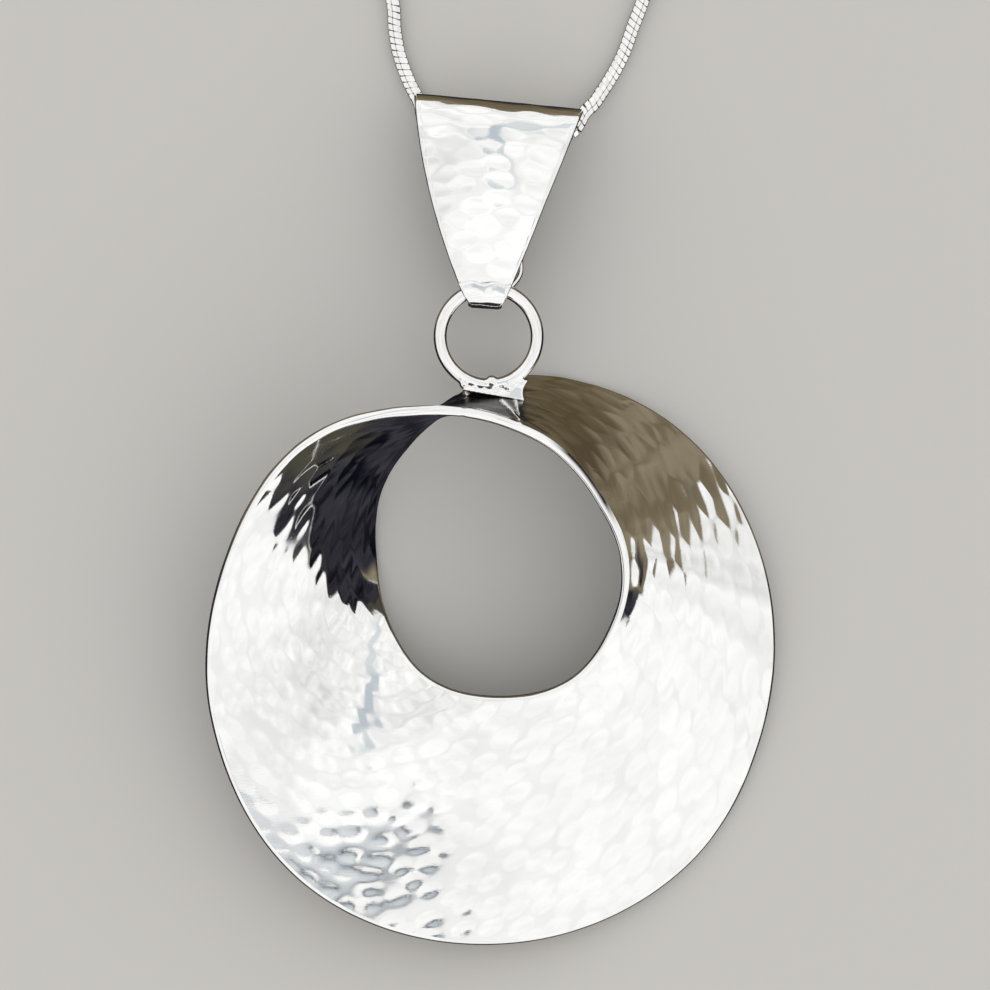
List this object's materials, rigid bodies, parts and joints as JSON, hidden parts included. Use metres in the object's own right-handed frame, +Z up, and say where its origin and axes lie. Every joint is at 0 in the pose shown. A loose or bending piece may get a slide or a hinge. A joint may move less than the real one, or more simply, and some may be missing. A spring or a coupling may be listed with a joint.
{
  "type": "pendant necklace",
  "caption": "Broad hammered silver hoop pendant with one half twist, its jump ring, a folded tapered bail and a snake chain lying closed on a surface.",
  "frame": {"origin": "middle of the whole part's bounding box, on the surface it lies on", "axes": "+Z up from the surface; +Y from the pendant towards the clasp; +X to the right in the picture"},
  "size_m": [0.0732, 0.249, 0.0141],
  "materials": {
    "hammered_silver": "bright hammered silver",
    "chain_silver": "polished silver snake chain",
    "finding_silver": "plain polished silver"
  },
  "bodies": {
    "root": {"hammered_hoop": "hammered_silver", "bail": "hammered_silver", "snake_chain": "chain_silver", "end_cap_left": "finding_silver", "end_cap_right": "finding_silver", "clasp": "finding_silver"}
  },
  "joints": []
}
